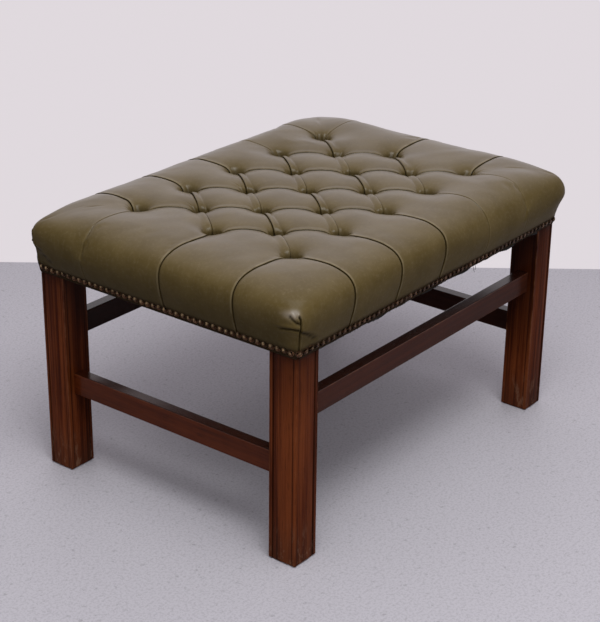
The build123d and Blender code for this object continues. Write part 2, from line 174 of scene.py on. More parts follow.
# stained mahogany for one stick: its grain turned along Z, the middle and half width of it on two axes
def mahogany(name, turn, shift, sides, moulded):
    made, shader, place = finish_of(name, IOR=1.06, Coat_Roughness=0.22, Coat_Weight=0.07)
    wood = use(figure, Place=stretched(place, (1, 1, 1), turn, shift))
    tone = wood["Tone"]
    if not moulded:
        tone = plus(times(tone, 0.36), times(clouds(place, 28.0, 4.0, 0.6), 0.26))
    colour = put("ValToRGB", {"Fac": tone})
    stops = colour.color_ramp.elements
    stops[0].color, stops[1].color = (0.027, 0.0052, 0.0012, 1), (0.150, 0.0365, 0.0096, 1)
    stops.new(0.45).color = (0.078, 0.0158, 0.0040, 1)
    shade = overlaid(colour.outputs[0], wood["Pores"], 0.55, (0.012, 0.004, 0.002, 1))
    axes = put("SeparateXYZ", {"Vector": place}).outputs
    (first, first_at, first_half), (second, second_at, second_half) = sides
    mirror = [reckon("ABSOLUTE", axes[a]) if moulded else axes[a] for a in (first, second)]
    u = across_stick(mirror[0], first_at, first_half)
    v = across_stick(mirror[1], second_at, second_half)
    corner = reckon("MINIMUM", u, v)
    worn = use(wear, Place=place, Near=corner, Start=0.90)["Worn"]
    if moulded:
        # painted shade in the quirks, and a painted shadow of the seat on the tops of the legs
        quirk = reckon("ABSOLUTE", minus(corner, 0.729))
        quirk_shade = minus(1.0, fade(quirk, 0.015, 0.075))
        seat_shadow = fade(axes["Z"], 0.190, 0.312)
        shade = overlaid(shade, quirk_shade, 0.7, (0.010, 0.003, 0.0015, 1))
        shade = overlaid(shade, seat_shadow, 0.5, (0.018, 0.0045, 0.002, 1))
        # a deeper painted shadow just under the nails
        shade = overlaid(shade, fade(axes["Z"], 0.288, 0.312), 0.45, (0.012, 0.003, 0.0018, 1))
        # the faces that look in under the seat are darkened as painted shade
        inner = most(minus(1.0, fade(mirror[0], 0.2760, 0.2775)),
                     minus(0.6, times(fade(mirror[1], 0.1885, 0.1900), 0.6)))
        inner = times(inner, fade(axes["Z"], 0.03, 0.20))
        shade = overlaid(shade, inner, 0.68, (0.008, 0.0016, 0.0006, 1))
        low = minus(1.0, fade(axes["Z"], 0.004, 0.075))
        shade = overlaid(shade, low, 0.3, (0.030, 0.016, 0.011, 1))
        scuffs = fade(clouds(stretched(place, (1, 1, 0.35)), 95.0, 5.0, 0.7), 0.52, 0.66)
        scuffed = times(low, scuffs)
        shade = overlaid(shade, scuffed, 0.5, (0.17, 0.105, 0.068, 1))
        worn = most(worn, times(scuffed, 0.4))
    else:
        # the tops are darkened as a painted shadow of the seat and made glossier, and the inner faces are
        # darkened as painted shade
        shadowed_top = fade(axes["Z"], second_at + 0.93 * second_half, second_at + 0.985 * second_half)
        sign = 1 if first_at > 0 else -1
        inner = fade(times(minus(first_at, axes[first]), sign), 0.88 * first_half, 0.97 * first_half)
        if first == 1:                       # the long pair is tinted grey-brown, a painted reflection of the room
            shade = blended(0.42, shade, (0.022, 0.014, 0.0125, 1))
        shade = overlaid(shade, shadowed_top, 0.7, (0.010, 0.0025, 0.0012, 1))
        shade = overlaid(shade, inner, 0.8, (0.009, 0.002, 0.001, 1))
        feed(shader, "Coat Weight", plus(times(shadowed_top, 0.75), 0.2))
    shade = overlaid(shade, worn, 0.55, (0.20, 0.072, 0.030, 1))
    feed(shader, "Base Color", shade)
    smears = clouds(place, 17.0, 4.0, 0.6)
    sheen = plus(times(smears, 0.22), times(worn, 0.12))
    feed(shader, "Roughness", plus(sheen, 0.30))
    dents = times(clouds(place, 60.0, 3.0), 0.8)
    relief = minus(plus(wood["Tone"], dents), times(wood["Pores"], 0.7))
    bump(shader, relief, 0.0001, 0.7)
    return made


def paint(piece, material):
    piece.data.materials.clear()
    piece.data.materials.append(material)


def dress(material, *names):
    for name in names:
        paint(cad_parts[name], material)


corners = ("front_left", "front_right", "back_left", "back_right")
for k, corner in enumerate(corners):
    dress(mahogany("mahogany_leg_" + corner, (0, 0, 0), (0.31 * k, 0.17 * k, 0.4 * k),
                   ((0, leg_x, leg_half), (1, leg_y, leg_half)), True), "leg_" + corner)


# The stretchers: four plain rails of the same mahogany, tenoned into the legs. The long pair is higher than
# the short pair. Their grain runs along them, and their top edges are rubbed by feet. Their tops and inner
# faces are darkened as painted shade, and the long pair is tinted grey-brown as a painted reflection.
bar_half, bar_half_high, long_at, short_at = 0.0095, 0.0165, 0.220, 0.139
for k, (name, side) in enumerate((("front", -1), ("back", 1))):
    dress(mahogany("mahogany_stretcher_" + name, (0, math.pi / 2, 0), (0.11 * k, 1.3, 0.2),
                   ((1, side * leg_y, bar_half), (2, long_at, bar_half_high)), False), "stretcher_" + name)
for k, (name, side) in enumerate((("left", -1), ("right", 1))):
    dress(mahogany("mahogany_stretcher_" + name, (math.pi / 2, 0, 0), (0.7, 0.23 * k, 0.6),
                   ((0, side * leg_x, bar_half), (2, short_at, bar_half_high)), False), "stretcher_" + name)


# The seat frame: four pale beech rails dowelled into the legs, with screwed corner blocks inside. It is all
# under the leather, so it is sawn and planed but not polished.
def bare_wood(name, pale, dark, turn):
    made, shader, place = finish_of(name, Roughness=0.66)
    wood = use(figure, Place=stretched(place, (1, 1, 1), turn))
    shade = blended(wood["Tone"], pale, dark)
    shade = overlaid(shade, wood["Pores"], 0.35, tuple(c * 0.45 for c in dark[:3]) + (1,))
    feed(shader, "Base Color", shade)
    bump(shader, minus(wood["Tone"], wood["Pores"]), 0.00015, 0.6)
    return made


beech = ((0.50, 0.33, 0.18, 1), (0.36, 0.215, 0.105, 1))
dress(bare_wood("frame_wood_long", *beech, (0, math.pi / 2, 0)), "rail_front", "rail_back")
dress(bare_wood("frame_wood_short", *beech, (math.pi / 2, 0, 0)), "rail_left", "rail_right")
block_wood = bare_wood("frame_wood_blocks", *beech, (0, math.pi / 2, math.pi / 4))
dress(block_wood, *("corner_block_" + c for c in corners))
dowel_wood = bare_wood("dowel_wood", (0.55, 0.39, 0.23, 1), (0.42, 0.27, 0.14, 1), (0, 0, 0))
dress(dowel_wood, "rail_dowels", "twine_toggles")
steel, shader, place = finish_of("steel", Metallic=1.0)
tarnish = clouds(place, 220.0, 4.0, 0.6)
feed(shader, "Base Color", blended(fade(tarnish, 0.45, 0.7), (0.42, 0.41, 0.39, 1), (0.16, 0.11, 0.075, 1)))
feed(shader, "Roughness", plus(times(tarnish, 0.35), 0.18))
dress(steel, "corner_block_screws", "seat_board_screws", "dust_cover_staples")


# The seat board: birch plywood screwed down on the rails, drilled for the twine that pulls the buttons down.
# Each twine is knotted over a small wooden toggle under the board.
plywood, shader, place = finish_of("plywood", Roughness=0.6)
wood = use(figure, Place=stretched(place, (1, 1, 1), (0, math.pi / 2, 0)))
height = put("SeparateXYZ", {"Vector": place}).outputs["Z"]
plies = reckon("PINGPONG", minus(height, 0.355), 0.0024)
layer = fade(plies, 0.0010, 0.0014)
face = blended(wood["Tone"], (0.52, 0.37, 0.22, 1), (0.40, 0.26, 0.14, 1))
feed(shader, "Base Color", overlaid(face, layer, 0.35, (0.22, 0.125, 0.06, 1)))
bump(shader, minus(wood["Tone"], wood["Pores"]), 0.0001, 0.6)
dress(plywood, "seat_board")
twine, shader, place = finish_of("twine", Roughness=0.85)
strands = {"Vector": place, "Scale": 420.0, "Distortion": 1.5}
lay = put("TexWave", strands, bands_direction="DIAGONAL").outputs["Fac"]
feed(shader, "Base Color", blended(lay, (0.30, 0.22, 0.12, 1), (0.55, 0.45, 0.29, 1)))
bump(shader, lay, 0.0003)
dress(twine, "button_twine")


# The leather cover: one olive hide drawn down over the pad by the buttons, pleated from each button to the
# next and on over the edges, tucked in at the corners and close-nailed to the rails.
# Sizes are in millimetres until the mesh is made.
face_x, face_y = 320.5, 233.0            # faces of the legs, which the leather is nailed to
step_x, step_y = 106.0, 69.0             # buttons along a row, and from row to row
buttons_at = np.array([((i - (n - 1) / 2) * step_x, (row - 2) * step_y)
                       for row, n in enumerate((5, 4, 5, 4, 5)) for i in range(n)])
# a panel over the edge: out from the faces of the legs, height, and how far a pleat sinks below it there
edge_run = [(-260, 405, 5), (-160, 405, 5), (-96, 405, 5), (-75, 405, 4.8), (-55, 404.7, 4.2),
            (-40, 404.1, 3.6), (-25, 402.8, 3), (-12, 400, 2.6), (0, 395.4, 2.4), (8, 389, 2.2),
            (13.2, 380.5, 2), (15.4, 370, 2), (14.8, 358, 1.9), (12.2, 346, 1.6), (8.8, 335, 1.2),
            (5.6, 325.5, 0.7), (3.2, 318, 0.3), (1.8, 310, 0)]
# pleats that the stretch of the hide has almost pulled flat
slack = {("front", 106): 0.45, ("front", 212): 0.2, ("left", 138): 0.35, ("back", 106): 0.35,
         ("back", 212): 0.45, ("right", 138): 0.3}
# for each side, the way along it and the way out
side_frames = {"front": ((1, 0), (0, -1)), "back": ((1, 0), (0, 1)),
               "left": ((0, 1), (-1, 0)), "right": ((0, 1), (1, 0))}
# a smooth line through those points, each part of it cut into 60
p = np.array(edge_run, float)
p = np.vstack([2 * p[0] - p[1], p, 2 * p[-1] - p[-2]])
t = np.linspace(0, 1, 60, endpoint=False)[:, None]
parts = [0.5 * (2 * b + (c - a) * t + (2 * a - 5 * b + 4 * c - d) * t ** 2 + (3 * b - a - 3 * c + d) * t ** 3)
         for a, b, c, d in zip(p, p[1:], p[2:], p[3:])]
edge_line = np.vstack(parts + [p[-2:-1]])
edge_at = np.concatenate([[0], np.cumsum(np.hypot(*np.diff(edge_line[:, :2], axis=0).T))])
edge_at -= edge_at[np.argmax(edge_line[:, 0] >= -40)]
foot = edge_at[-1]
edge_slope = np.gradient(edge_line[:, :2], edge_at, axis=0)
edge_slope /= np.linalg.norm(edge_slope, axis=1)[:, None]


# out, height, sink and the two parts of the outward direction, at a run past the crest of the edge
def over_edge(e):
    return [np.interp(e, edge_at, column) for column in (*edge_line.T, -edge_slope[:, 1], edge_slope[:, 0])]


# the run at which a panel starts, that far in from the faces of the legs
def starts(inside):
    return np.interp(-inside, edge_line[:600, 0], edge_at[:600])


def ramp(v, low, high):
    u = np.clip((v - low) / (high - low), 0, 1)
    return u * u * (3 - 2 * u)


# how full a panel is at a distance from a pleat
def full(d, reach=44):
    return 1 - (1 - np.clip(d / reach, 0, 1)) ** 2.5


def narrowing(e):
    return np.interp(e, [-60, -35, 0, foot], [44, 30, 16, 14])


def to_button(x, y):
    away = np.stack([x[..., None] - buttons_at[:, 0], y[..., None] - buttons_at[:, 1]])
    which = (away ** 2).sum(0).argmin(-1)
    ax, ay = (np.take_along_axis(v, which[..., None], -1)[..., 0] for v in away)
    return np.hypot(ax, ay), np.arctan2(ay, ax), which


def well(x, y):
    r = to_button(x, y)[0]
    return 9.3 * np.exp(-np.maximum(0, r - 6.5) / 4) + 8.5 * np.exp(-np.maximum(0, r - 6.5) / 13)


# a diamond between four buttons, along its two pairs of pleats
def diamond(a, b, left):
    a, b = np.meshgrid(a, b, indexing="ij")
    x, y = left[0] + (a + b) * step_x / 2, left[1] + (b - a) * step_y
    long = math.hypot(step_x / 2, step_y)
    gaps = [v * step_x * step_y / long for v in (a, 1 - a, b, 1 - b)]
    raised = np.prod([full(d) for d in gaps], axis=0)
    base = np.stack([x, y, 405 - well(x, y)], -1)
    over = [np.array([-step_y, step_x / 2]) / long, np.array([-step_y, -step_x / 2]) / long]
    steep = "band" if abs(left[1]) > 1 else "under"
    if steep == "band":
        gaps[:2] = [np.where(d > 3, 3 + (d - 3) * (1 + 0.45 * b), d) for d in gaps[:2]]
    ways = (over[0], -over[0], over[1], -over[1])
    folds = [(d, way, lie, 1) for d, way, lie in zip(gaps, ways, (steep, steep, "lip", "under"))]
    return base, 5 * (raised - 1), np.broadcast_to((0.0, 0.0, 1.0), base.shape), folds, raised


def rows_down(t, start):
    return np.where(t <= 1, start + (-5 - start) * t, -5 + (foot + 5) * (t - 1))


# a panel between two pleats that run over one edge, reaching in to the next row of buttons
def edge_panel(s, t, side, first):
    along, out = (np.array(v, float) for v in side_frames[side])
    lengthways = side in ("front", "back")
    span, reach, face = (step_x, step_y, face_y) if lengthways else (2 * step_y, step_x / 2, face_x)
    rim = face - 2 * (step_y if lengthways else step_x)
    s, t = np.meshgrid(s, t, indexing="ij")
    e = rows_down(t, starts(rim + reach * (1 - abs(2 * s - 1))))
    o, z, sink, no, nz = over_edge(e)
    plan = (first + s * span)[..., None] * along + (face + o)[..., None] * out
    leg, deep = math.hypot(span / 2, reach), e - 40 + rim
    gaps = [s * span, (1 - s) * span, (deep * span / 2 + s * span * reach) / leg,
            (deep * span / 2 + (1 - s) * span * reach) / leg]
    hold = [slack.get((side, first), 1), slack.get((side, first + span), 1)]
    raised = full(gaps[2]) * full(gaps[3])
    for d, h in zip(gaps, hold):
        raised = raised * (1 - h * (1 - full(d, narrowing(e))))
    base = np.dstack([plan, z - well(plan[..., 0], plan[..., 1])])
    normal = np.dstack([no[..., None] * out, nz])
    v, w = reach / leg * along, span / 2 / leg * out
    lies = {"front": ("under", "under"), "back": ("lip", "under"),
            "left": ("band", "under"), "right": ("lip", "band")}[side]
    folds = [(gaps[0], -along, "edge", hold[0]), (gaps[1], along, "under", hold[1]),
             (gaps[2], -v - w, lies[0], 1), (gaps[3], v - w, lies[1], 1)]
    return base, sink * (raised - 1), normal, folds, raised


corner_at = face_x - 2 * step_x


# a corner, fanned from its button between the last pleats of two edges
def corner_panel(f, t, sx, sy):
    rim_x, rim_y = corner_at, face_y - 2 * step_y
    f, t = np.meshgrid(f, t, indexing="ij")
    turn = np.where(f < rim_x, np.arctan2(f, rim_y), math.pi / 2 - np.arctan2(rim_x + rim_y - f, rim_x))
    e, e_x = rows_down(t, starts(rim_y)), rows_down(t, starts(rim_x))
    o = over_edge(e)[0]
    _, z, sink, no, nz = over_edge(e + (e_x - e) * turn / (math.pi / 2))
    e_mid, off = (e + e_x) / 2, f - corner_at
    # the near corner is the fullest, and the roundest in plan
    droop, squareness = ((1, [2.3, 2.6, 3.6, 5.5, 9, 16, 30]) if sx + sy < 0 else
                         (6, [2.3, 3.6, 6.5, 8.5, 10, 16, 30]))
    z = z - droop * (1 - ramp(abs(off), 0, 72)) * ramp(e_mid, -40, 20) * (1 - ramp(e_mid, 25, 75))
    k = np.interp(e, [-60, 0, 30, 55, 80, foot - 25, foot], squareness)
    ax, ay = np.maximum(rim_x + over_edge(e_x)[0], 1e-6), np.maximum(rim_y + o, 1e-6)
    sn, cs = np.maximum(np.sin(turn), 0), np.maximum(np.cos(turn), 0)
    far = np.where(t < 1e-9, 0, ((sn / ax) ** k + (cs / ay) ** k) ** (-1 / k))
    dx, dy = far * sn, far * cs
    x, y = sx * (2 * step_x + dx), sy * (2 * step_y + dy)
    base = np.dstack([x, y, z - well(x, y)])
    way = np.stack([sx * (dx / ax) ** (k - 1) / ax, sy * (dy / ay) ** (k - 1) / ay], -1)
    way /= np.maximum(np.linalg.norm(way, axis=-1), 1e-12)[..., None]
    normal = np.dstack([no[..., None] * way, nz])
    hold = [slack.get(("front" if sy < 0 else "back", sx * 2 * step_x), 1),
            slack.get(("left" if sx < 0 else "right", sy * 2 * step_y), 1)]
    raised = np.prod([1 - h * (1 - full(d, narrowing(e))) for d, h in zip((dx, dy), hold)], axis=0)
    folds = [(dx, np.array([-sx, 0.0]), "edge" if sx > 0 else "under", hold[0]),
             (dy, np.array([0.0, -sy]), "edge" if sy > 0 else "under", hold[1])]
    return base, sink * (raised - 1), normal, folds, raised


def all_panels(a, s, t, f):
    made = []
    for x, y in buttons_at:
        if np.abs(buttons_at - (x + step_x, y)).sum(1).min() < 1 and abs(y) < 1.5 * step_y:
            made.append((diamond(a, a, (x, y)), (a, a), None))
    for side in side_frames:
        span, n = (step_x, 4) if side in ("front", "back") else (2 * step_y, 2)
        for k in range(n):
            made.append((edge_panel(s, t, side, (k - n / 2) * span), (s, t), None))
    for sx in (-1, 1):
        for sy in (-1, 1):
            made.append((corner_panel(f, t, sx, sy), (f, t), (sx, sy)))
    return made


# numbers the points of the panels, so that two panels share the points of the pleat between them
def sewn(bases):
    keys = np.round(np.vstack([b.reshape(-1, 3) for b in bases]) + 0.00272, 2)
    index = np.unique(keys, axis=0, return_inverse=True)[1].reshape(-1)
    ends = np.cumsum([b.shape[0] * b.shape[1] for b in bases])
    return [i.reshape(b.shape[:2]) for i, b in zip(np.split(index, ends[:-1]), bases)], index.max() + 1


def mean_points(grids, count, arrays):
    total, shares = np.zeros((count, arrays[0].shape[-1])), np.zeros(count)
    for g, p in zip(grids, arrays):
        np.add.at(total, g.ravel(), p.reshape(-1, p.shape[-1]))
        np.add.at(shares, g.ravel(), 1)
    return total / shares[:, None]


def faces_of(grids, points):
    faces = []
    for g in grids:
        quads = np.stack([g[:-1, :-1], g[1:, :-1], g[1:, 1:], g[:-1, 1:]], -1).reshape(-1, 4)
        p = points[quads]
        turned = np.cross(p[:, 2] - p[:, 0], p[:, 3] - p[:, 1])
        outward = p.mean(1) - (0, 0, 300)
        if (turned * outward).sum() < 0:
            quads = quads[:, ::-1]
        rings = ([v for i, v in enumerate(q) if v != q[i - 1]] for q in quads.tolist())
        faces += [r for r in rings if len(r) > 2]
    return faces


# how far each pleat lies to one side of its button, where it goes over the edge
lean_at = {"front": ([-320, -212, -106, 0, 106, 212, 320], [0, -3, -4, -4, 0, 0, 0]),
           "back": ([-320, -212, -106, 0, 106, 212, 320], [0, 9, 2, -2, 0, 0, 0]),
           "left": ([-233, -138, 0, 138, 233], [0, 2, -9, -4, 0])}


# the pleats laid over, and the pad a little fuller at the far end
def laid_over(p):
    x, y, moved = p[..., 0], p[..., 1], p.copy()
    moved[..., 0] += (np.interp(x, *lean_at["front"]) * ramp(-y, 144, 172)
                      + np.interp(x, *lean_at["back"]) * ramp(y, 144, 172))
    moved[..., 1] += np.interp(y, *lean_at["left"]) * ramp(-x, 218, 246)
    moved[..., 2] += 1.2 * x / face_x * ramp(p[..., 2], 345, 385)
    stuffed = (4.5 * ramp(x, 250, 330) * ramp(-y, 165, 240) * np.exp(-((p[..., 2] - 360) / 15) ** 2)
               + 2.2 * ramp(-x, 250, 330) * ramp(y, 165, 240) * np.exp(-((p[..., 2] - 350) / 16) ** 2))
    moved[..., :2] += stuffed[..., None] * (0.62, -0.78)
    return moved


# the hide before the pad pushes it out, a little short of full
def under_filled(panel):
    base, swell, normal, _, raised = panel
    short = 1.4 * raised * np.clip((base[..., 2] - 318) / 25, 0, 1)
    return laid_over(base + (swell - short)[..., None] * normal)


# a piece made of points in metres and faces
def made_of(name, points, faces):
    piece = bpy.data.objects.new(name, bpy.data.meshes.new(name))
    piece.data.from_pydata(points, [], faces)
    scene.collection.objects.link(piece)
    return piece


# weights that carry values from one row of places to a closer one, along a smooth line
def carried(places, closer):
    n, w, lean = len(places), np.zeros((len(closer), len(places))), np.zeros((len(places), len(places)))
    for i in range(n):
        lo, hi = max(i - 1, 0), min(i + 1, n - 1)
        lean[i, hi] += 1 / (places[hi] - places[lo])
        lean[i, lo] -= 1 / (places[hi] - places[lo])
    for k, v in enumerate(closer):
        i = min(max(np.searchsorted(places, v) - 1, 0), n - 2)
        h = places[i + 1] - places[i]
        t = (v - places[i]) / h
        w[k, i] += 2 * t ** 3 - 3 * t ** 2 + 1
        w[k, i + 1] += 3 * t ** 2 - 2 * t ** 3
        w[k] += h * ((t ** 3 - 2 * t ** 2 + t) * lean[i] + (t ** 3 - t ** 2) * lean[i + 1])
    return w


# places across and down the panels: close beside the pleats for the finished hide, even for the filling
near = np.array([0, 0.6, 1.3, 2.3, 3.6, 5.2, 6.8, 8.2, 9.4, 10.6, 12.4, 15.5, 21, 28, 36]) / 87
fine_a = np.concatenate([near, [0.5], 1 - near[::-1]])
fine_s = np.concatenate([fine_a / 2, 0.5 + fine_a[1:] / 2])
fine_t = np.concatenate([[0, .012, .028, .05, .08, .12, .17, .23, .3, .38, .46, .55, .64, .73, .82, .91],
                         np.linspace(1, 1.45, 20)[:-1], np.linspace(1.45, 1.82, 36)[:-1],
                         np.linspace(1.82, 2, 12)])
past_pleat = np.array([0, .37, .8, 1.4, 2.2, 3.3, 4.9, 7, 9.8, 13.4, 17.7, 22.6, 28, 34, 40.5, 47.5, 55, 62.5,
                       70, 77])
past_corner = np.array([0, 1.4, 2.6, 3.6, 4.4, 5.1, 5.8, 6.6, 7.8, 9.5, 12, 15])
all_round = corner_at + face_y - 2 * step_y
fine_f = np.unique(np.concatenate([past_pleat, [84, 89], corner_at - past_corner, corner_at + past_corner,
                                   all_round - past_pleat[past_pleat < 75]]).round(3))
even_a, even_s = np.linspace(0, 1, 15), np.linspace(0, 1, 29)
even_t = np.concatenate([np.linspace(0, 1, 13)[:-1], np.linspace(1, 2, 21)])
even_f = np.concatenate([np.linspace(0, corner_at, 17), np.linspace(corner_at, all_round, 15)[1:]])
panels = all_panels(fine_a, fine_s, fine_t, fine_f)
grids, count = sewn([p[0] for p, _, _ in panels])
skin = [under_filled(p) for p, _, _ in panels]
evens = all_panels(even_a, even_s, even_t, even_f)
even_grids, even_count = sewn([p[0] for p, _, _ in evens])
slack_skin = mean_points(even_grids, even_count, [under_filled(p) for p, _, _ in evens])
free = mean_points(even_grids, even_count, [p[4][..., None] for p, _, _ in evens])[:, 0]

# a short cloth simulation: the pad pushes the hide out between the pleats, the buttons and the nails
pushed = np.zeros_like(slack_skin)
blown = made_of("blown", slack_skin * mm, faces_of(even_grids, slack_skin))
held = blown.vertex_groups.new(name="held")
held.add(np.nonzero((free < 0.02) | (slack_skin[:, 2] < 322))[0].tolist(), 1.0, "REPLACE")
cloth = blown.modifiers.new("cloth", "CLOTH")
for name, value in dict(quality=6, mass=0.15, tension_stiffness=20, compression_stiffness=20,
                        bending_stiffness=2, vertex_group_mass="held", use_pressure=True,
                        uniform_pressure_force=8).items():
    setattr(cloth.settings, name, value)
cloth.settings.effector_weights.gravity = 0
cloth.collision_settings.use_collision = False
for step in range(1, 21):
    scene.frame_set(step)
after = blown.evaluated_get(bpy.context.evaluated_depsgraph_get()).data
moved = np.zeros(even_count * 3, np.float32)
after.vertices.foreach_get("co", moved)
pushed = moved.reshape(-1, 3) * 1000.0 - slack_skin        # back in millimetres
far = np.linalg.norm(pushed, axis=1)
pushed *= np.minimum(1, 4.5 / np.maximum(far, 1e-9))[:, None]
scene.frame_set(1)
bpy.data.objects.remove(blown)


# how a pleat stands, as rise and reach by distance from its crease: over an edge a rolled lip covers the
# crease; on the top some pleats lie as a flat band that ends in a soft valley and some have a small lip, and
# the other side always runs in under
lie_rise = {"edge": ([0, .5, 1, 1.8, 3, 5, 8], [-2.2, .4, .8, .9, .6, .25, 0]),
            "band": ([0, .6, 1.3, 2.3, 3.6, 5.2, 6.8, 8.2, 9.4, 10.6, 12.4, 15.5, 20],
                     [-2.6, .6, 1.4, 1.7, 1.5, 1, .4, -.5, -1.7, -1.2, -.6, -.2, 0]),
            "lip": ([0, .6, 1.3, 2.3, 3.6, 5.4, 8], [-2.4, -.1, .6, .8, .6, .3, 0]),
            "under": ([0, .6, 1.3, 2.3, 3.6, 6], [-2.4, -1.7, -.9, -.4, -.15, 0])}
lie_reach = {"edge": ([0, .5, 1, 1.8, 3, 5, 8], [0, 1.3, 1.5, 1.3, .9, .4, 0]),
             "band": ([0, .6, 1.3, 2.3, 3.6, 5.4, 8], [0, 1.6, 1.9, 1.7, 1.2, .6, 0]),
             "lip": ([0, .6, 1.3, 2.3, 3.6, 5.4], [0, 1, 1.2, 1, .5, 0]), "under": ([0, 1], [0, 0])}
# how pale the crest of each kind of pleat is made, partly wear and partly a painted highlight
rubbed_and_highlight_on = {"edge": 1.0, "band": 0.35, "lip": 0.35, "under": 0.0}
# creases of the corner tuck: points round from the corner and up, depth and half width
tuck = [([(-2, 309), (-3, 326), (-4.2, 339), (-4.8, 350), (-6, 360), (-5.5, 368), (-3, 371.5)], 3.6, 1.2),
        ([(24, 352.5), (11.6, 354.6), (-4.5, 353.4)], 2.6, 1.5),
        ([(-5, 352), (-9.5, 349), (-17, 346), (-25, 340), (-36, 331)], 1.7, 1.8),
        ([(12, 372.5), (8.2, 368.3), (2, 364.2), (-5, 363)], 1.8, 1.5)]


# how far points are from a broken line
def off_line(p, q, line):
    best = np.full(p.shape, 1e9)
    for (ax, ay), (bx, by) in zip(line, line[1:]):
        t = np.clip(((p - ax) * (bx - ax) + (q - ay) * (by - ay)) / ((bx - ax) ** 2 + (by - ay) ** 2), 0, 1)
        best = np.minimum(best, np.hypot(p - ax - t * (bx - ax), q - ay - t * (by - ay)))
    return best


# the hide is never quite even: broad swells, small dents and slanting drag lines
def unevenness(x, y, z):
    return (0.9 * noise.noise((x * .016, y * .016, z * .016))
            + 0.35 * noise.noise((x * .045, y * .045, z * .045))
            + 0.2 * noise.noise(((x - .77 * y) * .012, (x * .77 + y) * .06, z * .03)))


def bell(d, half):
    return np.exp(-(d / half) ** 2)


folded, marks = [], []
for (panel, (u, v), corner), g, (_, (eu, ev), _), p in zip(panels, even_grids, evens, skin):
    base, _, normal, folds, _ = panel
    height = base[..., 2]
    fan = np.zeros(g.shape)
    if corner:
        fan = np.outer(np.sin(math.pi * eu / eu[-1]) ** 2, 1 - ramp(ev, 0.1, 0.9))
    p = p + np.einsum("ij,jkc,lk->ilc", carried(eu, u), pushed[g] * (1 - fan)[..., None], carried(ev, v))
    uneven = np.array([[unevenness(*at) for at in row] for row in p.tolist()])
    across = np.cross(np.gradient(p, axis=0), np.gradient(p, axis=1))
    across *= np.sign((across * normal).sum(-1))[..., None]
    size = np.linalg.norm(across, axis=-1)[..., None]
    across = np.where(size > 1e-9, across / np.maximum(size, 1e-9), normal)
    r, angle, which = to_button(base[..., 0], base[..., 1])
    open_air = ramp(r, 5, 11) * ramp(height, 312, 322) * (0.6 + 0.4 * ramp(height, 330, 375))
    rise, reach = uneven * ramp(height, 316, 335), np.zeros(p.shape)
    crease_shade, rubbed_and_highlight, corner_gloss_and_highlight = (np.zeros(r.shape) for _ in range(3))
    for d, way, lie, hold in folds:
        firm = open_air * (1 if hold == 1 else 0.55 * hold)
        rise = rise + firm * np.interp(d, *lie_rise[lie])
        reach = reach + (firm * np.interp(d, *lie_reach[lie]))[..., None] * np.append(way, 0)
        shown = rubbed_and_highlight_on[lie] * (1 if hold == 1 else 0.8 * hold)
        rubbed_and_highlight = np.maximum(rubbed_and_highlight, shown * bell(d - 2.1, 1.1))
        crease_shade = np.maximum(crease_shade, np.maximum(firm, hold * ramp(r, 3, 7) * (r < 14)) * bell(d, 1.15))
    # the hide is gathered in small puckers round each button, and dips in beside it
    puckers = np.abs(np.sin(7.5 * angle + 2.1 * which + 1.1 * np.sin(3 * angle + which)))
    far = 1 + 0.35 * np.sin(5 * angle + 1.7 * which)
    deep = 0.4 if corner == (-1, -1) else 1.5
    rise = rise - deep * (1 - puckers) ** 2 * bell(r - 10, 9 * far) * ramp(r, 5, 9)
    rise = rise - 2.4 * bell(r - 9.2, 2.4)
    if corner:
        f, _ = np.meshgrid(u, v, indexing="ij")
        # at the front right corner the tuck is laid round on the end
        round_from = (f - corner_at) * (1 if corner[0] * corner[1] > 0 else -1) + 16 * (corner == (1, -1))
        for line, depth, half in {(-1, -1): tuck, (1, -1): tuck[:1] + tuck[2:3]}.get(corner, tuck[:3]):
            d = off_line(round_from, height, line)
            rise = rise - depth * bell(d, half) + 0.3 * depth * bell(d - 2.6 * half, 1.4 * half)
            crease_shade = np.maximum(crease_shade, bell(d, 1.2 * half))
        # under the level creases the hide is tucked back
        below = np.interp(round_from, [-40, -25, -9.5, -4.5, 11.6, 24, 34],
                          [329, 340, 349, 353.4, 354.6, 352.5, 350]) - height
        back = ramp(below, -1, 3) * (1 - ramp(below, 12, 34)) * (1 - ramp(abs(round_from + 6), 18, 34))
        rise = rise - 1.6 * back
        if corner == (-1, -1):
            # the near corner gets a painted highlight and more gloss
            corner_gloss_and_highlight = np.exp(-((round_from - 9) / 12) ** 2 - ((height - 375) / 5) ** 2)
    folded.append(p + rise[..., None] * across + reach)
    # marks for the finish: painted shade in the creases and wells, painted highlight and wear on the crests,
    # a painted highlight on the near corner, and the nail band
    well_shade, nailed = np.exp(-np.maximum(r - 8, 0) / 3), 1 - ramp(height, 320, 328)
    marks.append(np.stack([crease_shade, rubbed_and_highlight, well_shade, nailed, corner_gloss_and_highlight], -1))

points = mean_points(grids, count, folded)
marks = mean_points(grids, count, marks)


# where the inside of the hide and the pad under it lie: the filled shape, drawn in along its own normals
def drawn_in(points, faces, depth):
    inner = bpy.data.meshes.new("inside")
    inner.from_pydata(points * mm, [], faces)
    ways = np.zeros(len(points) * 3, np.float32)
    inner.vertices.foreach_get("normal", ways)
    bpy.data.meshes.remove(inner)
    return points - ways.reshape(-1, 3) * np.reshape(depth, (-1, 1))


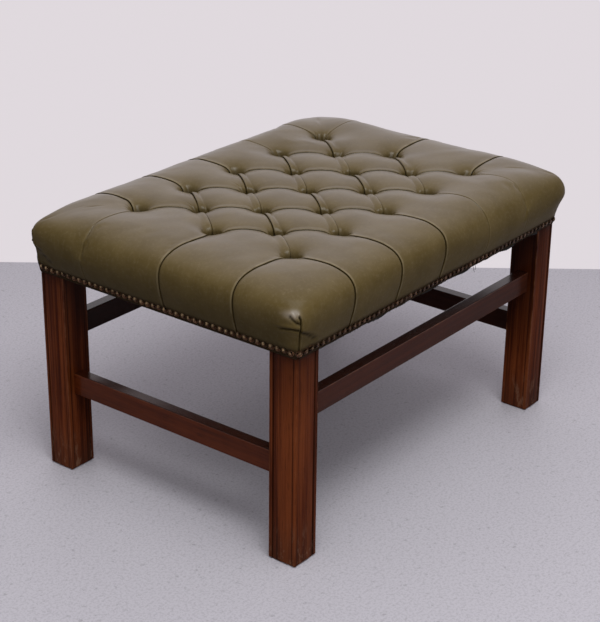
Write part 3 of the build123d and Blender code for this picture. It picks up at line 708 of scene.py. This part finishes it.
filled = slack_skin + pushed
filled_faces = faces_of(even_grids, filled)
under_button = 3.8 * (1 - ramp(to_button(filled[:, 0], filled[:, 1])[0], 10, 26))
lined = np.interp(filled[:, 2], [310, 325, 345], [1.4, 1.7, 3.4])
lining = drawn_in(filled, filled_faces, lined + under_button)
inner_faces = [[v + len(points) for v in f[::-1]] for f in filled_faces]
leather = made_of("leather_cushion", np.vstack([points, lining]) * mm, faces_of(grids, points) + inner_faces)
marks = np.vstack([marks, np.zeros((len(lining), 5))])
mark_names = ("crease_shade", "rubbed_and_highlight", "well_shade", "nailed", "corner_gloss_and_highlight")
for name, values in zip(mark_names, marks.T):
    mark = leather.data.attributes.new(name, "FLOAT", "POINT")
    mark.data.foreach_set("value", np.ascontiguousarray(values, np.float32))


# into edit mode with one piece, all or nothing in it selected, and back
def open_up(piece, chosen="DESELECT"):
    bpy.ops.object.select_all(action="DESELECT")
    piece.select_set(True)
    bpy.context.view_layer.objects.active = piece
    bpy.ops.object.mode_set(mode="EDIT")
    bpy.ops.mesh.select_all(action=chosen)


def close_up():
    bpy.ops.object.mode_set(mode="OBJECT")


open_up(leather)
bpy.ops.mesh.select_mode(type="EDGE")
bpy.ops.mesh.select_non_manifold(extend=False, use_wire=False, use_boundary=True, use_multi_face=False,
                                 use_non_contiguous=False, use_verts=False)
bpy.ops.mesh.bridge_edge_loops()
close_up()
leather.data.shade_smooth()
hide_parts("leather_cover")
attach(leather, "root")

# grain of the hide: small soft pebbles with fine lines between them
grain, given, out = new_group("hide_grain", ["Place"], ["Pebbles", "Mottle"])
cells = put("TexVoronoi", {"Vector": given["Place"], "Scale": 620.0}, feature="SMOOTH_F1").outputs["Distance"]
feed(out, "Pebbles", plus(cells, times(clouds(given["Place"], 1500.0, 2.0), 0.5)))
feed(out, "Mottle", clouds(given["Place"], 21.0, 5.0, 0.62))


# olive hide, glossiest on the top, dull in the creases and under the nails; painted shade darkens the
# creases, the wells and the lower sides, dirt and painted shade the nail band, and painted highlights with
# some wear lighten the crests and the near corner
def hide_finish(name, pale, deep, marked):
    made, shader, place = finish_of(name, IOR=1.08, Coat_Roughness=0.31)
    grained = use(grain, Place=place)
    axes = put("SeparateXYZ", {"Vector": place}).outputs
    height = axes["Z"]
    grazed = plus(times(fade(height, 0.378, 0.405), 1.0 if marked else 0.1), 0.05)
    shade = blended(fade(grained["Mottle"], 0.3, 0.7), deep, pale)
    gloss = plus(times(grained["Mottle"], 0.16), 0.30)
    if marked:
        crease_shade, rubbed_and_highlight, well_shade, nailed, corner_gloss_and_highlight = (
            put("Attribute", {}, place.id_data, attribute_name=n).outputs["Fac"] for n in mark_names)
        # years of use: pale scuffs and small dull patches all over
        scuffs = fade(clouds(place, 210.0, 5.0, 0.72), 0.47, 0.72)
        shade = overlaid(shade, scuffs, 0.20, (0.205, 0.165, 0.100, 1))
        # the crests of the pleats are paler, partly wear and partly a painted highlight
        pale_crests = times(rubbed_and_highlight, fade(clouds(place, 70.0, 4.0, 0.6), 0.28, 0.55))
        shade = overlaid(shade, pale_crests, 0.56, (0.25, 0.20, 0.11, 1))
        # a painted highlight on the near corner
        shade = overlaid(shade, corner_gloss_and_highlight, 0.5, (0.34, 0.29, 0.24, 1))
        # painted shade in the creases and in the wells beside the buttons
        shade = overlaid(shade, crease_shade, 0.88, (0.010, 0.0065, 0.002, 1))
        shade = overlaid(shade, well_shade, 0.88, (0.014, 0.009, 0.003, 1))
        # the leather by the nails is darkened, partly dirt and partly painted shade
        soiled_and_shaded = times(nailed, fade(clouds(place, 110.0, 3.0), 0.1, 0.4))
        shade = overlaid(shade, soiled_and_shaded, 0.9, (0.024, 0.0125, 0.0075, 1))
        # painted shade darkens the sides toward the nails, less on the front, which is kept paler as painted
        # light
        low = minus(0.56, times(fade(height, 0.325, 0.398), 0.56))
        front_less_shade = fade(times(axes["Y"], -1.0), 0.205, 0.245)
        shade = overlaid(shade, low, minus(1.0, times(front_less_shade, 0.6)), (0.014, 0.009, 0.002, 1))
        gloss = plus(gloss, times(most(well_shade, nailed), 0.2))
        grazed = most(grazed, corner_gloss_and_highlight)
        grazed = times(grazed, minus(1.0, most(nailed, most(crease_shade, reckon("POWER", well_shade, 0.5)))))
    feed(shader, "Coat Weight", grazed)
    feed(shader, "Base Color", shade)
    feed(shader, "Roughness", gloss)
    wrinkles = times(clouds(place, 60.0, 5.0, 0.62), 6.5)
    bump(shader, plus(grained["Pebbles"], wrinkles), 0.00012, 0.6)
    return made


olive_pale, olive_deep = (0.105, 0.075, 0.0275, 1), (0.084, 0.0585, 0.0190, 1)
paint(leather, hide_finish("green_leather", olive_pale, olive_deep, True))


# The pad: one block of cut foam glued on the seat board under the leather, pulled into cups by the buttons.
# Pale yellow, with an open cell.
board_top = 0.3674
pad = drawn_in(filled, filled_faces, np.interp(filled[:, 2], [310, 345], [2.6, 4.4]) + under_button)
foam = made_of("foam_filling", pad * mm, filled_faces)
open_up(foam, "SELECT")
bpy.ops.mesh.bisect(plane_co=(0, 0, board_top), plane_no=(0, 0, 1), use_fill=True, clear_inner=True)
close_up()
foam.data.shade_smooth()
sponge, shader, place = finish_of("foam", Roughness=0.9)
open_cells = put("TexVoronoi", {"Vector": place, "Scale": 900.0}).outputs["Distance"]
feed(shader, "Base Color", blended(open_cells, (0.50, 0.40, 0.20, 1), (0.72, 0.62, 0.38, 1)))
bump(shader, open_cells, 0.0004)
paint(foam, sponge)
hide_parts("foam_pad")
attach(foam, "root")


# The buttons: 23 domed moulds covered in the same leather, each pulled down on its twine to the bottom of a
# well. The cover is gathered under the rim, so its edge is a little uneven. Their leather is made darker than
# the cover, as painted shade in the wells.
button_foot, button_wide, button_crown, button_rim = 0.381, 0.0075, 0.0047, 0.00135


# the cap of a ball, cut level and set down on the cut, flattened, its flat side drawn down into a rim;
# with ribs, every edge is drawn down too, into thin walls inside that dull the shading of the dome
def domed(segments, rings, radius, level, flatten, rim, taper, ribs=False):
    bpy.ops.object.select_all(action="DESELECT")
    bpy.ops.mesh.primitive_uv_sphere_add(segments=segments, ring_count=rings, radius=radius,
                                         location=(0, 0, 0))
    cap = bpy.context.object
    open_up(cap, "SELECT")
    bpy.ops.mesh.bisect(plane_co=(0, 0, level), plane_no=(0, 0, 1), use_fill=True, clear_inner=True)
    bpy.ops.mesh.select_all(action="SELECT")
    bpy.ops.transform.translate(value=(0, 0, -level))
    bpy.ops.transform.resize(value=(1, 1, flatten), center_override=(0, 0, 0))
    bpy.ops.mesh.select_all(action="SELECT" if ribs else "DESELECT")
    bpy.ops.mesh.select_mode(type="FACE")
    close_up()
    for face in cap.data.polygons:
        face.select = face.normal.z < -0.9
    bpy.ops.object.mode_set(mode="EDIT")
    bpy.ops.mesh.extrude_region_move(TRANSFORM_OT_translate={"value": (0, 0, -rim)})
    bpy.ops.transform.resize(value=(taper, taper, 1), center_override=(0, 0, 0))
    close_up()
    return cap


# copies of one piece, each with a mesh of its own
def copies_of(piece, number):
    made = []
    for _ in range(number):
        copy = piece.copy()
        copy.data = piece.data.copy()
        scene.collection.objects.link(copy)
        made.append(copy)
    return made


button = domed(28, 14, button_wide, 0, 0.62, button_rim, 0.9)
pieces = copies_of(button, len(buttons_at))
bpy.data.objects.remove(button)
for k, (copy, (x, y)) in enumerate(zip(pieces, buttons_at)):
    for v in copy.data.vertices:
        a = math.atan2(v.co.y, v.co.x)
        v.co *= 1 + 0.05 * noise.noise((4 * v.co.x / button_wide, 4 * v.co.y / button_wide, k * 7.3))
        v.co.z -= 0.00025 * (1 - v.co.z / button_crown) * math.sin(9 * a + k) if v.co.z > -0.001 else 0
    lean_x, lean_y = 0.10 * math.sin(5.1 * k), 0.10 * math.cos(3.7 * k)
    tip = Matrix.Rotation(lean_x, 4, "X") @ Matrix.Rotation(lean_y, 4, "Y")
    copy.data.transform(Matrix.Translation((x * mm, y * mm, button_foot + button_rim)) @ tip)


# one piece made of copies, named and shaded
def gathered(pieces, name, angle):
    bpy.ops.object.select_all(action="DESELECT")
    for piece in pieces:
        piece.select_set(True)
    bpy.context.view_layer.objects.active = pieces[0]
    bpy.ops.object.join()
    bpy.ops.object.shade_smooth_by_angle(angle=math.radians(angle))
    whole = bpy.context.object
    whole.name = whole.data.name = name
    return whole


covered = gathered(pieces, "covered_buttons", 55)
# the buttons' leather is darker than the cover's, as painted shade in the wells
button_pale_shaded, button_deep_shaded = (0.034, 0.024, 0.008, 1), (0.020, 0.014, 0.005, 1)
paint(covered, hide_finish("green_leather_buttons", button_pale_shaded, button_deep_shaded, False))
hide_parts("buttons")
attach(covered, "root")


# The nails: 204 domed brass heads driven almost edge to edge through the leather into the rails. They are
# pressed from thin sheet, and the antique finish is rubbed bright on the crowns, where a painted highlight
# sits on the upper side, weaker on the long rows as painted shade. No two sit quite alike.
head_wide, head_high, head_rim = 0.0051, 0.0036, 0.0006
nail_line, nail_out = 318, 2.35          # height of the row, and how far the heads stand off the rails
ball = (head_wide ** 2 + head_high ** 2) / (2 * head_high)
nail = domed(14, 12, ball, ball - head_high, 1, head_rim, 1, ribs=True)
brass, shader, place = finish_of("antique_brass", Metallic=0.9, Coat_Weight=0.08, Coat_Roughness=0.12)
rub_and_glint = put("Attribute", {}, place.id_data, attribute_name="rub_and_glint").outputs["Fac"]
spots = clouds(place, 420.0, 4.0, 0.65)
patchy_rub_and_glint = times(rub_and_glint, fade(clouds(place, 75.0, 2.0), 0.25, 0.65))
patches = fade(clouds(place, 45.0, 3.0), 0.35, 0.65)
shade = blended(patches, (0.066, 0.029, 0.013, 1), (0.150, 0.070, 0.034, 1))
feed(shader, "Base Color", blended(patchy_rub_and_glint, shade, (0.95, 0.68, 0.36, 1)))
feed(shader, "Roughness", plus(times(spots, 0.2), 0.26))
bump(shader, spots, 0.00005, 0.3)
jitter = random.Random(11)
for side, (along, out) in side_frames.items():
    long = side in ("front", "back")
    span, face, n = (face_x, face_y, 59) if long else (face_y, face_x, 43)
    # a painted highlight on the upper side of each crown, together with its rubbing; weaker on the long rows,
    # as painted shade
    row_glint = 0.35 if long else 1
    glint_spot = [row_glint * math.exp(-((v.co.x / head_wide) / 0.34) ** 2
                                - ((v.co.y / head_wide - 0.45) / 0.28) ** 2) for v in nail.data.vertices]
    pieces = copies_of(nail, n)
    for k, copy in enumerate(pieces):
        copy.data.attributes.new("rub_and_glint", "FLOAT", "POINT").data.foreach_set("value", glint_spot)
        at = (k / (n - 1) * 2 - 1) * (span - 8) + jitter.gauss(0, 0.35)
        turned = 0
        if side == "front" and k < 8:        # the first of this row is driven into the corner
            at, turned = at - 6.5 * (1 - k / 8), 0.45 * (k == 0)
        where = [(along[i] * at + out[i] * (face + nail_out)) * mm for i in (0, 1)]
        where.append((nail_line + jitter.gauss(0, 0.4)) * mm)
        outward = Vector((out[0] - turned * along[0], out[1] - turned * along[1], -0.10))
        stand = outward.to_track_quat("Z", "Y").to_matrix().to_4x4()
        tip = Matrix.Rotation(jitter.gauss(0, 0.07), 4, "X") @ Matrix.Rotation(jitter.gauss(0, 0.07), 4, "Y")
        wide = jitter.gauss(1, 0.02)
        copy.data.transform(Matrix.Translation(where) @ stand @ tip @ Matrix.Diagonal((wide, wide, 1, 1)))
    row = gathered(pieces, "brass_nails_" + side, 60)
    paint(row, brass)
    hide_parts("nails_" + side)
    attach(row, "root")
bpy.data.objects.remove(nail)


# The dust cover: a sheet of thin black cloth stapled up under the rails, notched round the legs. It sags a
# little, and its cut front edge has frayed and hangs in tufts under the nails, with two loose threads.
cloth_x, cloth_y, notch = 316.5, 229.0, 46.0
cloth_at, cloth_thick = 309.85, 0.0005   # height under the rails, and the thickness in metres


def thickened(piece):
    thick = piece.modifiers.new("thickness", "SOLIDIFY")
    thick.thickness, thick.offset = cloth_thick, 0.0
    open_up(piece)
    close_up()
    bpy.ops.object.modifier_apply(modifier="thickness")


xs = np.concatenate([[-cloth_x], np.linspace(-face_x + notch, face_x - notch, 45), [cloth_x]])
ys = np.concatenate([[-cloth_y], np.linspace(-face_y + notch, face_y - notch, 31), [cloth_y]])
weave_at = [(x, y) for x in xs for y in ys]
drop = [5.0 * math.cos(math.pi * x / 660) * math.cos(math.pi * y / 480)
        + 0.8 * noise.noise((x * .012, y * .012, 3.1)) if abs(x) < 299 and abs(y) < 212 else 0
        for x, y in weave_at]
n = len(ys)
squares = [(i * n + j, i * n + j + 1, (i + 1) * n + j + 1, (i + 1) * n + j)
           for i in range(len(xs) - 1) for j in range(n - 1)
           if not (i in (0, len(xs) - 2) and j in (0, n - 2))]
hung = [(x * mm, y * mm, (cloth_at - d) * mm) for (x, y), d in zip(weave_at, drop)]
sheet = made_of("black_dust_cover", hung, squares)
open_up(sheet, "SELECT")
bpy.ops.mesh.delete_loose()
close_up()
sheet.data.shade_smooth()
thickened(sheet)

# the frayed edge between the front legs: four rows of points, from the rail down to the ends of the tufts
steps = np.linspace(-272, 272, 545)
hang = [0.7 + 4.0 * max(0, 0.2 + noise.noise((x * .024, 5, 1))) + 1.5 * abs(noise.noise((x * .19, 2, 7)))
        + 1.2 * abs(noise.noise((x * .8, 9, 4))) for x in steps]
hung = [(x, -232.3 + 0.8 * noise.noise((x * .05, 1, k)) - 0.25 * k, 309.9 - h * k / 3)
        for x, h in zip(steps, hang) for k in range(4)]
squares = [(4 * i + k, 4 * i + k + 1, 4 * i + k + 5, 4 * i + k + 4)
           for i in range(len(steps) - 1) for k in range(3)]
for x, length, sway in ((92.0, 9.0, 2.5), (97.5, 6.5, -1.5)):        # the two threads
    n = len(hung)
    hung += [(x + sway * (k / 6) ** 2 + w, -232.6 - 0.15 * k, 307.5 - length * k / 6)
             for k in range(7) for w in (-0.2, 0.2)]
    squares += [(n + 2 * k, n + 2 * k + 1, n + 2 * k + 3, n + 2 * k + 2) for k in range(6)]
fray = made_of("frayed_edge", [(x * mm, y * mm, z * mm) for x, y, z in hung], squares)
thickened(fray)
black, shader, place = finish_of("black_cloth", Roughness=0.92)
weave = {"Vector": place, "Scale": 330.0, "Distortion": 0.6}
warp, weft = (put("TexWave", weave, bands_direction=way).outputs["Fac"] for way in "XY")
threads = times(warp, weft)
lint = fade(clouds(place, 130.0, 5.0, 0.7), 0.55, 0.75)
shade = blended(threads, (0.006, 0.005, 0.0045, 1), (0.020, 0.016, 0.014, 1))
feed(shader, "Base Color", overlaid(shade, lint, 0.18, (0.10, 0.08, 0.065, 1)))
bump(shader, threads, 0.0002)
for piece in (sheet, fray):
    paint(piece, black)
    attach(piece, "root")
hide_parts("dust_cover")


# The room: a pale grey speckled floor and a plain off-white wall close behind, under a broad soft light
# overhead. Seen from behind or below, floor and wall are clear, so that other views are not blocked.
def backdrop(name, points, made, shown=None):
    sheet = made_of(name, points, [(0, 1, 2, 3)])
    tree = made.node_tree
    surface = tree.nodes["Principled BSDF"].outputs[0]
    if shown:
        path = tree.nodes.new("ShaderNodeLightPath").outputs
        seen = most(path["Is Camera Ray"], path["Is Glossy Ray"])
        seen = most(seen, path["Is Transmission Ray"])
        glow = put("Emission", {"Color": shown}, tree).outputs[0]
        surface = put("MixShader", {0: seen, 1: surface, 2: glow}).outputs[0]
    behind = tree.nodes.new("ShaderNodeNewGeometry").outputs["Backfacing"]
    clear = tree.nodes.new("ShaderNodeBsdfTransparent").outputs[0]
    mixed = put("MixShader", {0: behind, 1: surface, 2: clear}).outputs[0]
    tree.links.new(mixed, tree.nodes["Material Output"].inputs["Surface"])
    paint(sheet, made)


stone, shader, place = finish_of("floor_grey", Roughness=0.55)
flecks = clouds(place, 110.0, 4.0, 0.65)
shade = blended(fade(flecks, 0.58, 0.70), (0.492, 0.476, 0.517, 1), (0.31, 0.30, 0.325, 1))
shade = blended(fade(clouds(place, 190.0, 4.0, 0.65), 0.62, 0.74), shade, (0.53, 0.52, 0.555, 1))
shade = blended(fade(clouds(place, 270.0, 3.0, 0.75), 0.46, 0.62), shade, (0.405, 0.39, 0.427, 1))
feed(shader, "Base Color", shade)
backdrop("floor", [(-9, -9, 0), (9, -9, 0), (9, 9, 0), (-9, 9, 0)], stone)
chalk, shader, place = finish_of("wall_white", Roughness=0.9)
shade = blended(clouds(place, 2.0), (0.72, 0.68, 0.71, 1), (0.75, 0.71, 0.74, 1))
feed(shader, "Base Color", shade)
back_way = Vector((math.sin(heading), math.cos(heading), 0))
middle, sideways, wall_top = back_way * 0.680, Vector((back_way.y, -back_way.x, 0)) * 9, Vector((0, 0, 6))
ends = [middle - sideways, middle + sideways]
backdrop("wall", ends + [ends[1] + wall_top, ends[0] + wall_top], chalk, (0.745, 0.695, 0.73, 1))

for name, stands, size, power in (("broad_light", (-0.68, -0.84, 2.4), 1.5, 43),
                                  ("small_light", (-1.05, -1.12, 1.95), 0.4, 4)):
    lamp = bpy.data.objects.new(name, bpy.data.lights.new(name, "AREA"))
    lamp.data.energy, lamp.data.size = power, size
    lamp.location = stands
    lamp.rotation_euler = (Vector((0, 0, 0.3)) - Vector(stands)).to_track_quat("-Z", "Y").to_euler()
    scene.collection.objects.link(lamp)
scene.world = bpy.data.worlds.new("room")
scene.world.use_nodes = True
air = scene.world.node_tree.nodes["Background"].inputs
air["Color"].default_value, air["Strength"].default_value = (0.98, 0.96, 1.0, 1), 0.44
